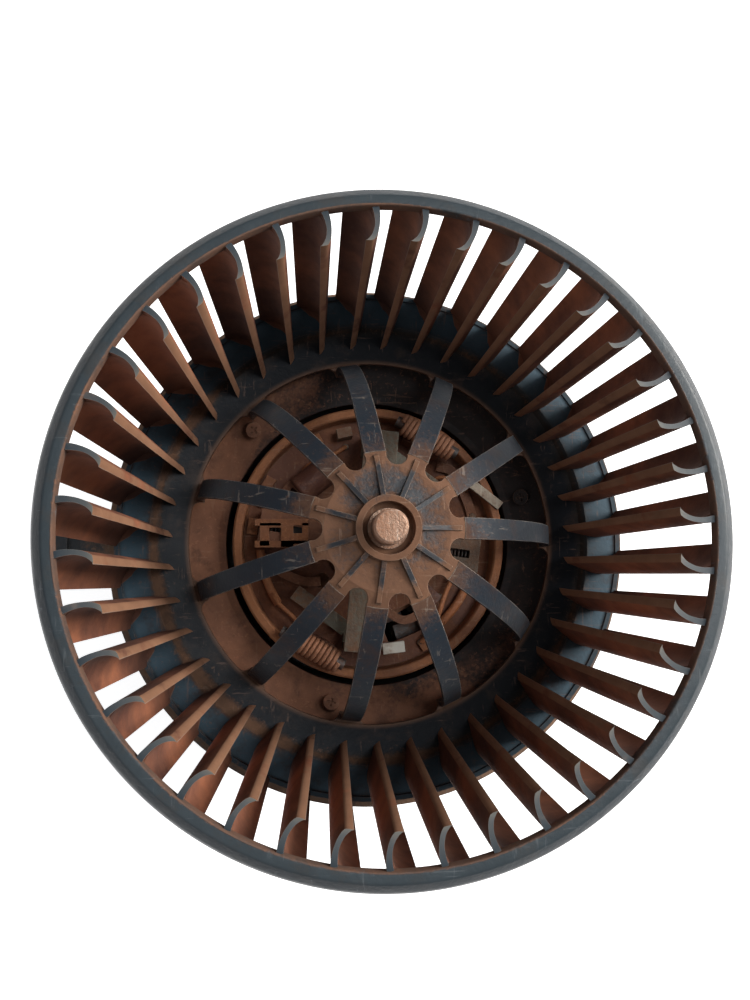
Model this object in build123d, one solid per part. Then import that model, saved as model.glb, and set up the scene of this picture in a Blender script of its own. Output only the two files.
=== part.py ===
from build123d import *
import math
import os

# Car heater blower: a squirrel-cage wheel on the shaft of an open-brush DC motor, held in a plastic carrier.
# Millimetres. +Z is the motor axis, towards the open air intake. The origin is on the axis, on the flat floor
# of the carrier cup.

# ---- driving dimensions: the wheel ----
TOP_Z = 130.0            # intake face of the rim, the highest face of the object
RIM_IN_R = 70.8          # inner wall of the rim
RIM_FACE_R = 73.1        # outer edge of the flat front face
RIM_SKIRT_R = 76.3       # outer edge of the flared lip, the largest radius of the wheel
RIM_WALL_H = 2.8         # height of the inner wall
SKIRT_DROP = 3.5         # how far the lip's edge sits below the front face
SKIRT_T = 1.2
BLADES = 39
BLADE_PHASE = 0.5        # degrees, angle of the outer end of the first blade
BLADE_OUT_R = 71.3       # where a blade goes in behind the rim
BLADE_FOOT_R = 57.2      # inner edge at the base plate
BLADE_SET = 0.8          # blades start this far below the front face
BLADE_TRIM = 3.0         # the body that trims the blades reaches this far inside them
BLADE_BACK = 0.3         # blades stay this far inside the edges of the rim and the base plate
SKIRT_GAP = 0.1          # room between a blade and the rim's flared lip
BLADE_FRONT = [          # a blade's plan at the rim: radius, offset to the left, thickness
    (75.3, 6.9, 1.1),
    (74.7, 4.7, 1.2),
    (73.7, 2.6, 1.3),
    (72.2, 0.9, 1.4),
    (70.1, 0.0, 1.45),
    (66.9, -0.05, 1.1),
    (64.3, 0.75, 1.1),
    (62.8, 2.1, 1.1),
]
BLADE_FOOT = [           # the same at the base plate
    (72.0, 7.0, 1.2),
    (71.3, 4.8, 1.3),
    (70.2, 2.8, 1.4),
    (68.8, 1.3, 1.5),
    (67.0, 0.45, 1.5),
    (64.2, 0.55, 1.4),
    (61.2, 1.6, 1.3),
    (57.4, 2.45, 1.2),
]
BASE_TOP_Z = 74.0        # outer ring of the base plate, the surface that the blades stand on
BASE_T = 1.9
BASE_R = 73.0
BASE_LIP = 1.5           # width of the raised lip along the base plate's edge
BASE_LIP_H = 0.5         # height of that lip
BASE_DISH = 4.6          # how far the plate's inner edge lies below its outer ring
STEP_R = 63.4            # the base plate steps down inside this radius
WINDOW_R = 53.2
LUG_R = 50.3             # the spokes land on small lugs that reach in to this radius
LUG_DROP = 0.3           # the lugs lie this far below the lip
SPOKES = 11
SPOKE_PHASE = 0.35
SPOKE_W = 5.2
SPOKE_T = 1.8
WEB_R = 18.6             # outer radius of the web round the hub
NOTCH_R = 2.6            # radius of the rounded notches between the spokes
HUB_R = 7.7
HUB_TOP_Z = 116.6
HUB_BOTTOM_Z = 101.0
RECESS_R = 6.2
RECESS_D = 3.0
INSERT_R = 4.8
SHAFT_R = 4.0
SHAFT_TOP_Z = 121.4
SHAFT_BOTTOM_Z = 6.2
FIT = 0.04               # radial running clearance of the shaft in its bearings

# ---- driving dimensions: the motor ----
CAN_R = 37.3
CAN_T = 2.0
CAN_FLOOR_Z = 11.0
CAN_TOP_Z = 53.6
POCKET_R = 11.0          # outer radius of the bearing pocket in the can floor
POCKET_Z = 4.4           # underside of the pocket
CORE_R = 26.6
CORE_Z0 = 20.0
CORE_Z1 = 44.0
SLOTS = 12
MAGNET_IN_R = 27.5
MAGNET_OUT_R = 34.2
COMM_R = 10.6
COMM_Z0 = 50.5
COMM_Z1 = 65.0
BARS = 24
PLATE_Z = 56.0           # top of the brush plate
PLATE_T = 2.4
PLATE_R = 38.4
PLATE_HOLE_R = 14.0
RING_IN_R = 38.6
RING_OUT_R = 41.4
RING_TOP_Z = 62.4
RING_BOTTOM_Z = 50.0
BRUSH_AXIS = -8.0        # degrees, direction of the first brush
BRUSH_W = 8.0
BRUSH_H = 6.4
BRUSH_LEN = 13.0
HOLDER_IN_R = 14.5
HOLDER_OUT_R = 33.5
HOLDER_WALL = 1.0
SLIP = 0.15              # clearance of the brush in its holder
BRIDGE_AXIS = 84.0       # degrees, direction of the upper bearing's bridge
BRIDGE_W = 10.0
BRIDGE_Z = 69.0
BRIDGE_T = 1.8
CHOKE_AXIS = 61.0
CHOKE_AT_R = 36.0
CHOKE_LEN = 18.0
CHOKE_R = 3.2
CHOKE_Z = 66.0           # height of the chokes' axes, just above the collar

# ---- driving dimensions: the carrier ----
CUP_IN_R = 44.3
CUP_OUT_R = 46.5
CUP_TOP_Z = 56.0
FLOOR_T = 2.5
BOWL_IN_R = 43.7
BOWL_LOW_Z = 58.0
FLANGE_R = 76.5
FLANGE_TOP_Z = 67.2
FLANGE_T = 2.6
FLANGE_IN_R = 60.0
BOLT_PCD = 136.0
BOLT_R = 2.75
BOLTS = 3
BOLT_PHASE = 40.0
TONGUE_R = 94.0          # outer end of the locating tongue
TONGUE_W = 13.0


def revolved(points):
    """A ring from an outline of (radius, height) points, turned about the axis."""
    with BuildPart() as part:
        with BuildSketch(Plane.XZ):
            with BuildLine():
                Polyline(*points, close=True)
            make_face()
        revolve(axis=Axis.Z)
    return part.part


def tube(outer, inner, z0, z1):
    """A plain tube about the axis."""
    return revolved([(inner, z0), (outer, z0), (outer, z1), (inner, z1)])


def disc(radius, z0, z1):
    return Pos(0, 0, z0) * Cylinder(radius, z1 - z0, align=(Align.CENTER, Align.CENTER, Align.MIN))


def block(length, width, z0, z1):
    """A box that starts at the axis's height z0, centred on x and y."""
    return Pos(0, 0, z0) * Box(length, width, z1 - z0, align=(Align.CENTER, Align.CENTER, Align.MIN))


def at(radius, angle, turn=0.0, z=0.0):
    """A place at a radius and an angle about the axis, its x axis pointing outwards, then turned."""
    return Rot(0, 0, angle) * Pos(radius, 0, z) * Rot(0, 0, turn)


def around(solid, count, phase=0.0):
    """Copies of a solid, evenly spaced about the axis."""
    return [Rot(0, 0, phase + index * 360.0 / count) * solid for index in range(count)]


def joined(solids):
    return Compound(children=[piece for solid in solids for piece in solid.solids()])


# ---------------------------------------------------------------- wheel

def wheel_rim():
    """The front ring: a short inner wall, a flat face and a flared lip."""
    edge_z = TOP_Z - SKIRT_DROP
    return revolved([
        (RIM_IN_R, TOP_Z),
        (RIM_FACE_R, TOP_Z),
        (RIM_SKIRT_R, edge_z),
        (RIM_SKIRT_R, edge_z - SKIRT_T),
        (RIM_SKIRT_R - SKIRT_T, edge_z - SKIRT_T),
        (BLADE_OUT_R + 1.2, TOP_Z - 1.6),
        (BLADE_OUT_R + 1.2, TOP_Z - RIM_WALL_H),
        (RIM_IN_R, TOP_Z - RIM_WALL_H),
    ])


def blade_section(stations, level):
    """One level of a blade: a curved strip through stations of (radius, offset to the left, thickness)."""
    left, right = [], []
    for index, (x, y, thick) in enumerate(stations):
        before = stations[max(index - 1, 0)]
        after = stations[min(index + 1, len(stations) - 1)]
        run = Vector(after[0] - before[0], after[1] - before[1]).normalized()
        left.append((x - run.Y * thick / 2, y + run.X * thick / 2))
        right.append((x + run.Y * thick / 2, y - run.X * thick / 2))
    with BuildSketch() as sketch:
        with BuildLine():
            Spline(*left)
            Line(left[-1], right[-1])
            Spline(*right)
            Line(right[0], left[0])
        make_face()
    return Pos(0, 0, level) * sketch.sketch


def wheel_blades():
    """All the blades, each a separate solid.

    A blade is a cupped strip, open to the left. It is lofted from the base plate to the rim, which it passes
    behind, and it is trimmed to both."""
    front = blade_section(BLADE_FRONT, TOP_Z)
    foot = blade_section(BLADE_FOOT, BASE_TOP_Z - BASE_DISH - 1.0)
    wall_z = TOP_Z - RIM_WALL_H
    skirt_z = TOP_Z - SKIRT_DROP - SKIRT_T
    inner = BLADE_FOOT_R - BLADE_TRIM
    under_skirt = skirt_z - SKIRT_GAP
    lip_z = BASE_TOP_Z + BASE_LIP_H
    envelope = revolved([
        (inner, TOP_Z - BLADE_SET),
        (RIM_IN_R, TOP_Z - BLADE_SET),
        (RIM_IN_R, wall_z),
        (RIM_FACE_R, wall_z),
        (RIM_SKIRT_R - SKIRT_T - SKIRT_GAP, under_skirt),
        (RIM_SKIRT_R - BLADE_BACK, under_skirt),
        (BASE_R - BLADE_BACK, lip_z),
        (BASE_R - BASE_LIP, lip_z),
        (BASE_R - BASE_LIP, BASE_TOP_Z),
        (STEP_R, BASE_TOP_Z),
        (STEP_R - 1.6, BASE_TOP_Z - 1.5),
        (inner, base_top(inner)),
    ])
    blade = loft([foot, front]) & envelope
    return joined(around(blade, BLADES, BLADE_PHASE))


def base_top(radius):
    """Height of the base plate's sloping inner part."""
    low = BASE_TOP_Z - BASE_DISH
    high = BASE_TOP_Z - 1.5
    share = (radius - WINDOW_R) / (STEP_R - 1.6 - WINDOW_R)
    return low + (high - low) * share


def window_cutter():
    """One opening between two spokes, with rounded corners, cut out of the base plate's inner edge."""
    half = 180.0 / SPOKES
    side = SPOKE_W / 2 + 0.3
    inner = LUG_R - 6.0
    clear = math.degrees(math.asin(side / WINDOW_R))
    a0, a1 = math.radians(clear - half), math.radians(half - clear)
    c0, c1 = math.radians(-half), math.radians(half)
    shift = (side * math.sin(c1), side * math.cos(c1))
    low_in = (inner * math.cos(c0) + shift[0], inner * math.sin(c0) + shift[1])
    high_in = (low_in[0], -low_in[1])
    low_out = (WINDOW_R * math.cos(a0), WINDOW_R * math.sin(a0))
    high_out = (WINDOW_R * math.cos(a1), WINDOW_R * math.sin(a1))
    with BuildSketch() as sketch:
        with BuildLine():
            Line(low_in, low_out)
            ThreePointArc(low_out, (WINDOW_R, 0), high_out)
            Line(high_out, high_in)
            Line(high_in, low_in)
        make_face()
        fillet(sketch.vertices().filter_by(lambda v: v.X ** 2 + v.Y ** 2 > (LUG_R + 1) ** 2), 2.4)
    return Pos(0, 0, BASE_TOP_Z - 12) * extrude(sketch.sketch, 16)


def wheel_base():
    """The ring-shaped back plate: outer ring, step, sloping inner part with a lip, and the spoke lugs."""
    lip_z = base_top(WINDOW_R)
    plate = revolved([
        (BASE_R, BASE_TOP_Z - BASE_T),
        (BASE_R, BASE_TOP_Z + 0.5),
        (BASE_R - BASE_LIP + 0.2, BASE_TOP_Z + 0.5),
        (BASE_R - BASE_LIP, BASE_TOP_Z),
        (STEP_R, BASE_TOP_Z),
        (STEP_R - 1.6, BASE_TOP_Z - 1.5),
        (WINDOW_R, lip_z),
        (WINDOW_R - 0.4, lip_z - LUG_DROP),
        (LUG_R, lip_z - LUG_DROP),
        (LUG_R, lip_z - BASE_T),
        (STEP_R - 2.6, BASE_TOP_Z - 1.5 - BASE_T),
        (STEP_R - 0.6, BASE_TOP_Z - BASE_T),
    ])
    for cutter in around(window_cutter(), SPOKES, SPOKE_PHASE + 180.0 / SPOKES):
        plate = plate - cutter
    return plate


def dome_points():
    """The dome that the spokes follow, from the hub web out and down to the lugs, as (radius, height)."""
    lug_z = base_top(WINDOW_R) - LUG_DROP
    drops = [(15.0, 2.4), (24.0, 6.2), (34.0, 13.2), (43.0, 23.0), (48.9, 34.0)]
    return [(radius, HUB_TOP_Z - drop) for radius, drop in drops] + [(52.2, lug_z)]


def wheel_spokes():
    """Flat straps that leave the web almost level and bend down steeply to the base plate."""
    outer = dome_points()
    inner = [(r - SPOKE_T * 0.35 * i / 2.2, z - SPOKE_T * (1.0 - 0.14 * i)) for i, (r, z) in enumerate(outer)]
    inner[-1] = (outer[-1][0] - SPOKE_T, outer[-1][1])
    with BuildSketch(Plane.XZ) as sketch:
        with BuildLine():
            Spline(*outer)
            Line(outer[-1], inner[-1])
            Spline(*inner)
            Line(inner[0], outer[0])
        make_face()
    strap = extrude(sketch.sketch, SPOKE_W / 2, both=True)
    strap = strap - disc(WEB_R, 90, 125)
    return joined(around(strap, SPOKES, SPOKE_PHASE))


def wheel_hub():
    """The hub boss with its recess, and the dished web with a rounded notch between each two spokes."""
    edge_z = HUB_TOP_Z - 3.75
    web_top = [(HUB_R, HUB_TOP_Z - 2.0), (15.0, HUB_TOP_Z - 2.4), (WEB_R, edge_z)]
    web_low = [(WEB_R, edge_z - SPOKE_T), (15.0, HUB_TOP_Z - 2.5 - SPOKE_T), (HUB_R, HUB_TOP_Z - 4.6)]
    hub = revolved([
        (INSERT_R, HUB_BOTTOM_Z),
        (HUB_R - 0.6, HUB_BOTTOM_Z),
        *web_low[::-1],
        *web_top[::-1],
        (HUB_R, HUB_TOP_Z),
        (RECESS_R, HUB_TOP_Z),
        (RECESS_R, HUB_TOP_Z - RECESS_D),
        (INSERT_R, HUB_TOP_Z - RECESS_D),
    ])
    notch = Pos(WEB_R - 0.7, 0, HUB_TOP_Z) * Cylinder(NOTCH_R, 30)
    for cutter in around(notch, SPOKES, SPOKE_PHASE + 180.0 / SPOKES):
        hub = hub - cutter
    return hub


def hub_ribs():
    """Thin upright ribs from the hub boss out along each spoke."""
    with BuildSketch(Plane.XZ) as sketch:
        with BuildLine():
            Polyline(
                (HUB_R, HUB_TOP_Z - 2.0),
                (HUB_R, HUB_TOP_Z - 0.5),
                (9.5, HUB_TOP_Z - 0.9),
                (17.4, HUB_TOP_Z - 2.6),
                (17.9, HUB_TOP_Z - 3.45),
                (15.0, HUB_TOP_Z - 2.4),
                close=True,
            )
        make_face()
    rib = extrude(sketch.sketch, 0.6, both=True)
    rib = rib - disc(HUB_R, 100, 125)
    return joined(around(rib, SPOKES, SPOKE_PHASE))


def hub_insert():
    """Steel sleeve moulded into the hub, pressed on the shaft."""
    return tube(INSERT_R, SHAFT_R, HUB_BOTTOM_Z - 1.0, HUB_TOP_Z - RECESS_D + 0.6)


def hub_clip():
    """Push-on retaining ring under the hub, a little dished."""
    z = HUB_BOTTOM_Z - 1.0
    return revolved([
        (SHAFT_R, z - 1.6),
        (SHAFT_R + 0.9, z - 1.6),
        (9.0, z - 0.8),
        (9.0, z),
        (SHAFT_R, z),
    ])


def motor_shaft():
    """Ground steel shaft with chamfered ends."""
    cut = 0.5
    return revolved([
        (0, SHAFT_BOTTOM_Z),
        (SHAFT_R - cut, SHAFT_BOTTOM_Z),
        (SHAFT_R, SHAFT_BOTTOM_Z + cut),
        (SHAFT_R, SHAFT_TOP_Z - cut),
        (SHAFT_R - cut, SHAFT_TOP_Z),
        (0, SHAFT_TOP_Z),
    ])


def armature_core():
    """Lamination stack with open slots between mushroom-shaped teeth."""
    core = tube(CORE_R, SHAFT_R, CORE_Z0, CORE_Z1)
    depth, mouth = 12.0, 2.2
    slot = at(CORE_R - 2.0 - depth / 2, 0, z=CORE_Z0 - 1) * block(depth, 6.6, 0, 40)
    opening = at(CORE_R, 0, z=CORE_Z0 - 1) * block(8.0, mouth, 0, 40)
    for cutter in around(slot + opening, SLOTS):
        core = core - cutter
    return core


def armature_winding(z0, z1):
    """The wound copper ends on one side of the core."""
    mid = (z0 + z1) / 2
    bulge = (z1 - z0) / 2
    return revolved([
        (SHAFT_R + 2.5, z0),
        (CORE_R - 4.0, z0),
        (CORE_R - 2.2, mid - bulge * 0.4),
        (CORE_R - 2.2, mid + bulge * 0.4),
        (CORE_R - 4.0, z1),
        (SHAFT_R + 2.5, z1),
    ])


def commutator_bars():
    """Copper segments with narrow gaps, seated on the sleeve."""
    ring = tube(COMM_R, 6.6, COMM_Z0, COMM_Z1)
    slit = at(9.0, 0) * block(6.0, 0.5, COMM_Z0 - 1, COMM_Z1 + 1)
    for cutter in around(slit, BARS):
        ring = ring - cutter
    return joined([ring])


def commutator_sleeve():
    return tube(6.6, SHAFT_R, COMM_Z0, COMM_Z1 + 0.8)


def thrust_washer(z0):
    return tube(7.0, SHAFT_R, z0, z0 + 0.6)


# ---------------------------------------------------------------- motor frame

def motor_can():
    """Deep-drawn steel pole housing with a bearing pocket in its floor and a turned-out rim."""
    return revolved([
        (0, POCKET_Z),
        (POCKET_R, POCKET_Z),
        (POCKET_R, CAN_FLOOR_Z),
        (CAN_R - 2.0, CAN_FLOOR_Z),
        (CAN_R, CAN_FLOOR_Z + 2.0),
        (CAN_R, CAN_TOP_Z - 1.8),
        (PLATE_R, CAN_TOP_Z - 1.8),
        (PLATE_R, CAN_TOP_Z),
        (CAN_R - CAN_T, CAN_TOP_Z),
        (CAN_R - CAN_T, CAN_FLOOR_Z + CAN_T),
        (POCKET_R - 1.6, CAN_FLOOR_Z + CAN_T),
        (POCKET_R - 1.6, POCKET_Z + 1.6),
        (0, POCKET_Z + 1.6),
    ])


def magnet():
    """One ferrite field magnet, an arc of 130 degrees about the brush axis."""
    shell = tube(MAGNET_OUT_R, MAGNET_IN_R, 16.0, 50.0)
    wedge_angle = math.radians(65.0)
    far = 60.0
    with BuildSketch() as sketch:
        with BuildLine():
            Polyline(
                (0, 0),
                (far * math.cos(wedge_angle), -far * math.sin(wedge_angle)),
                (far * 2, -far * math.sin(wedge_angle)),
                (far * 2, far * math.sin(wedge_angle)),
                (far * math.cos(wedge_angle), far * math.sin(wedge_angle)),
                close=True,
            )
        make_face()
    wedge = Pos(0, 0, 10) * extrude(sketch.sketch, 50)
    return Rot(0, 0, BRUSH_AXIS) * (shell & wedge)


def magnet_spring(side):
    """Bent steel clip that spreads the magnets apart against the can."""
    place = at(30.6, BRUSH_AXIS + 90 + side)
    bar = place * block(4.0, 20.0, 18.0, 48.0)
    hollow = place * block(2.4, 18.4, 10.0, 60.0)
    return bar - hollow


def bearing(z0, z1):
    """Sintered bronze sleeve bearing."""
    return tube(8.0, SHAFT_R + FIT, z0, z1)


def lower_retainer():
    """Sprung star washer that holds the lower bearing in the can's pocket."""
    return tube(POCKET_R - 1.6, 8.0, CAN_FLOOR_Z - 1.2, CAN_FLOOR_Z - 0.4)


def upper_retainer():
    return tube(8.0, SHAFT_R + 1.0, BRIDGE_Z + BRIDGE_T + 3.6, BRIDGE_Z + BRIDGE_T + 4.4)


def brush_plate():
    """Insulating plate that closes the can and carries the brush gear."""
    plate = tube(PLATE_R, PLATE_HOLE_R, PLATE_Z - PLATE_T, PLATE_Z)
    holes = [
        at(28.0, 176.0) * block(3.2, 3.4, PLATE_Z - 5, PLATE_Z + 2),
        at(22.0, 172.0) * block(2.4, 2.4, PLATE_Z - 5, PLATE_Z + 2),
        at(18.6, 219.0) * Pos(0, 0, PLATE_Z) * Cylinder(2.2, 10),
        at(26.0, 132.0) * block(8.0, 14.0, PLATE_Z - 5, PLATE_Z + 2),
        at(27.0, 292.0) * block(9.0, 12.0, PLATE_Z - 5, PLATE_Z + 2),
        at(25.0, 20.0) * block(5.0, 6.0, PLATE_Z - 5, PLATE_Z + 2),
    ]
    for hole in holes:
        plate = plate - hole
    return plate


def bearing_bridge():
    """Steel strap over the commutator, with a cup for the upper bearing and a leg at each end."""
    strap = block(2 * 31.0, BRIDGE_W, BRIDGE_Z, BRIDGE_Z + BRIDGE_T)
    cup = tube(10.0, 8.0, BRIDGE_Z, BRIDGE_Z + 7.0)
    legs = [
        Pos(side * 31.9, 0, 0) * block(BRIDGE_T, BRIDGE_W, PLATE_Z, BRIDGE_Z + BRIDGE_T)
        for side in (-1, 1)
    ]
    feet = [
        Pos(side * 29.0, 0, 0) * block(5.0, BRIDGE_W, PLATE_Z, PLATE_Z + BRIDGE_T)
        for side in (-1, 1)
    ]
    body = strap - disc(8.0, BRIDGE_Z - 1, BRIDGE_Z + 9)
    body = body + cup
    for piece in legs + feet:
        body = body + piece
    return Rot(0, 0, BRIDGE_AXIS) * body


def brush_holder():
    """Folded brass box, open towards the commutator, with a slot in its roof for the brush lead."""
    length = HOLDER_OUT_R - HOLDER_IN_R
    middle = (HOLDER_OUT_R + HOLDER_IN_R) / 2
    wide = BRUSH_W + 2 * SLIP + 2 * HOLDER_WALL
    high = BRUSH_H + 2 * SLIP + 2 * HOLDER_WALL
    box = Pos(middle, 0, 0) * block(length, wide, PLATE_Z, PLATE_Z + high)
    bore_z = PLATE_Z + HOLDER_WALL
    bore = Pos(middle - HOLDER_WALL, 0, 0) * block(
        length, BRUSH_W + 2 * SLIP, bore_z, bore_z + BRUSH_H + 2 * SLIP
    )
    slot = Pos(middle + 1.0, 0, 0) * block(length - 8.0, 2.4, PLATE_Z + high - 2, PLATE_Z + high + 1)
    return box - bore - slot


def brush():
    """Carbon brush, its face a little off the commutator's crown so that it clears the copper."""
    z0 = PLATE_Z + HOLDER_WALL + SLIP
    inner = COMM_R + 0.15
    bar = Pos(inner + BRUSH_LEN / 2, 0, 0) * block(BRUSH_LEN, BRUSH_W, z0, z0 + BRUSH_H)
    return bar - disc(COMM_R + 0.3, z0 - 1, z0 + BRUSH_H + 1)


def brush_spring():
    """Closed outline of the coil spring behind the brush."""
    x0 = COMM_R + 0.15 + BRUSH_LEN + 0.05
    x1 = HOLDER_OUT_R - HOLDER_WALL - 0.05
    z = PLATE_Z + HOLDER_WALL + SLIP + BRUSH_H / 2
    coil = Cylinder(2.5, x1 - x0) - Cylinder(1.9, x1 - x0 + 2)
    return Pos((x0 + x1) / 2, 0, z) * Rot(0, 90, 0) * coil


def choke_core():
    """Ferrite rod of a suppression choke."""
    return Rot(90, 0, 0) * Cylinder(1.7, CHOKE_LEN + 3.0)


def choke_winding():
    """Close-wound coil on the rod, a ridge for each turn."""
    turns = 12
    pitch = CHOKE_LEN / turns
    start = -CHOKE_LEN / 2
    outline = [(1.7, start)]
    for turn in range(turns):
        foot = start + turn * pitch
        outline += [
            (CHOKE_R - 0.55, foot),
            (CHOKE_R, foot + pitch * 0.25),
            (CHOKE_R, foot + pitch * 0.75),
            (CHOKE_R - 0.55, foot + pitch),
        ]
    outline.append((1.7, start + CHOKE_LEN))
    tidy = [point for index, point in enumerate(outline) if index == 0 or point != outline[index - 1]]
    return Rot(90, 0, 0) * revolved(tidy)


def choke_place(angle):
    return at(CHOKE_AT_R, angle, z=CHOKE_Z)


def choke_cradle():
    """Raised rest under a choke, part of the plastic plate's fittings."""
    base = block(4.0, CHOKE_LEN - 6.0, PLATE_Z, CHOKE_Z - CHOKE_R + 1.0)
    groove = Pos(0, 0, CHOKE_Z) * Rot(90, 0, 0) * Cylinder(CHOKE_R + 0.02, 40)
    return Pos(-1.4, 0, 0) * base - groove


def bus_strip():
    """Flat tinned strip beside each choke, with a turned-up end."""
    flat = block(4.6, 19.0, PLATE_Z + 4.6, PLATE_Z + 5.4)
    post = Pos(0, 8.0, 0) * block(3.0, 2.0, PLATE_Z, PLATE_Z + 4.6)
    other = Pos(0, -8.0, 0) * block(3.0, 2.0, PLATE_Z, PLATE_Z + 4.6)
    return flat + post + other


def lead_arc(radius, start, end, z, thick):
    """Insulated lead bent round the edge of the brush plate."""
    a0, a1 = math.radians(start), math.radians(end)
    mid = (a0 + a1) / 2
    with BuildPart() as part:
        with BuildLine() as path:
            ThreePointArc(
                (radius * math.cos(a0), radius * math.sin(a0), z),
                (radius * math.cos(mid), radius * math.sin(mid), z),
                (radius * math.cos(a1), radius * math.sin(a1), z),
            )
        with BuildSketch(Plane(origin=path.line @ 0, z_dir=path.line % 0)):
            Circle(thick)
        sweep()
    return part.part


def supply_strip():
    """Contact strip that leads from a choke out over the ring towards the connector."""
    z = RING_TOP_Z + 0.2
    strip = block(2.8, 13.0, z, z + 0.8)
    tail = Pos(-1.6, 5.6, 0) * block(1.6, 1.6, PLATE_Z, z + 0.8)
    return at(38.4, 22.5, turn=29.0) * (strip + tail)


def capacitor():
    """Drum-shaped suppression capacitor lying on the plate."""
    drum = Rot(90, 0, 0) * Cylinder(4.6, 15.0)
    return at(25.5, 128.0, z=PLATE_Z + 4.6) * fillet(drum.edges(), 0.8)


def thermal_link():
    """Small square thermal fuse with its two legs."""
    body = block(8.0, 4.6, PLATE_Z + 1.2, PLATE_Z + 4.0)
    leg = block(1.2, 1.2, PLATE_Z, PLATE_Z + 1.2)
    return at(24.0, 318.0) * (body + Pos(-2.5, 0, 0) * leg + Pos(2.5, 0, 0) * leg)


def lead_clip():
    """Pale plastic clip for the lead at the edge of the plate."""
    z = PLATE_Z + 4.4
    head = block(3.2, 6.6, z, z + 2.2)
    stem = block(2.2, 2.6, PLATE_Z, z)
    return at(32.8, 282.3, turn=-6.0) * (head + stem)


def spacer_block():
    """Cream-coloured block between the ring and the plate."""
    return at(34.6, 102.5) * block(3.0, 4.6, PLATE_Z, PLATE_Z + 5.6)


def motor_ring():
    """Plastic collar round the can's mouth, with a slim upright lip."""
    return revolved([
        (PLATE_R + 0.1, RING_BOTTOM_Z),
        (RING_OUT_R, RING_BOTTOM_Z),
        (RING_OUT_R, RING_TOP_Z - 0.6),
        (RING_OUT_R - 0.6, RING_TOP_Z),
        (RING_IN_R + 0.4, RING_TOP_Z),
        (RING_IN_R, RING_TOP_Z - 0.6),
        (RING_IN_R, PLATE_Z),
        (PLATE_R + 0.1, PLATE_Z),
    ])


def ring_snaps():
    """Small snap hooks that hold the plate down inside the collar."""
    hook = at(36.0, 0) * block(3.2, 5.0, PLATE_Z, PLATE_Z + 1.8)
    return joined([Rot(0, 0, angle) * hook for angle in (8.0, 118.0, 150.0, 172.0, 300.0)])


# ---------------------------------------------------------------- carrier

def damper():
    """Rubber block that floats the motor in the cup."""
    block_in = RING_OUT_R - 3.9
    return tube(CUP_IN_R, block_in, 28.0, 40.0) & (
        at(40.0, 0) * block(14.0, 16.0, 20.0, 50.0)
    )


def carrier_floor():
    """Flat floor of the cup, with six breather slots."""
    floor = disc(CUP_OUT_R, 0, FLOOR_T)
    vent = at(32.0, 0) * block(6.0, 9.0, -1, FLOOR_T + 1)
    for cutter in around(vent, 6):
        floor = floor - cutter
    return floor


def carrier_cup():
    return tube(CUP_OUT_R, CUP_IN_R, FLOOR_T, CUP_TOP_Z)


def carrier_bowl():
    """Dished shoulder between the cup and the flange."""
    bowl = revolved([
        (BOWL_IN_R, CUP_TOP_Z),
        (CUP_OUT_R + 1.5, CUP_TOP_Z),
        (FLANGE_IN_R - 1.5, FLANGE_TOP_Z - FLANGE_T),
        (FLANGE_IN_R, FLANGE_TOP_Z - FLANGE_T),
        (FLANGE_IN_R, FLANGE_TOP_Z),
        (BOWL_IN_R + 2.2, BOWL_LOW_Z + 0.4),
        (BOWL_IN_R, BOWL_LOW_Z),
    ])
    return bowl


def carrier_flange():
    """Flat mounting ring with its bolt holes."""
    ring = tube(FLANGE_R, FLANGE_IN_R, FLANGE_TOP_Z - FLANGE_T, FLANGE_TOP_Z)
    hole = at(BOLT_PCD / 2, 0) * Pos(0, 0, FLANGE_TOP_Z) * Cylinder(BOLT_R, 12)
    for cutter in around(hole, BOLTS, BOLT_PHASE):
        ring = ring - cutter
    return ring


def carrier_lug():
    """Locating tongue at the edge of the flange, with a blind pocket near its end."""
    middle = (TONGUE_R + FLANGE_R - 1.5) / 2
    length = TONGUE_R - FLANGE_R + 1.5
    top = FLANGE_TOP_Z - 0.3
    tongue = Pos(middle, 0, 0) * block(length, TONGUE_W, FLANGE_TOP_Z - FLANGE_T, top)
    pocket = Pos(TONGUE_R - 7.8, 0, 0) * block(3.8, 6.0, top - 1.4, top + 1.0)
    tongue = tongue - disc(FLANGE_R, 50, 80) - pocket
    return Rot(0, 0, 181.0) * tongue


def carrier_ribs():
    """Upright gussets under the shoulder, clear of the seat at its edge."""
    edge = FLANGE_IN_R - 2.5
    start = CUP_OUT_R + 1.5
    slope = (FLANGE_TOP_Z - FLANGE_T - CUP_TOP_Z) / (FLANGE_IN_R - 1.5 - start)
    top = CUP_TOP_Z + slope * (edge - start)
    with BuildSketch(Plane.XZ) as sketch:
        with BuildLine():
            Polyline(
                (CUP_OUT_R, 30.0),
                (CUP_OUT_R, CUP_TOP_Z),
                (CUP_OUT_R + 1.5, CUP_TOP_Z),
                (edge, top),
                (edge, top - 3.0),
                close=True,
            )
        make_face()
    rib = extrude(sketch.sketch, 1.2, both=True) - disc(CUP_OUT_R, 20, 80)
    return joined(around(rib, 6, BOLT_PHASE + 30.0))


def connector_shell():
    """Supply socket on the side of the cup, open downwards."""
    outer = block(20.0, 14.0, 8.0, 26.0)
    hollow = block(17.0, 11.0, 7.0, 22.0)
    key = Pos(0, -7.8, 0) * block(6.0, 1.6, 10.0, 24.0)
    shell = outer - hollow + key
    place = at(CUP_OUT_R + 7.0, 270.0, turn=90.0)
    return (place * shell) - disc(CUP_OUT_R, -5, 60)


def connector_pins():
    """Two flat blades inside the socket."""
    blade = block(6.3, 0.8, 12.0, 22.0)
    place = at(CUP_OUT_R + 7.0, 270.0, turn=90.0)
    return joined([place * Pos(side * 4.4, 0, 0) * blade for side in (-1, 1)])


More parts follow.
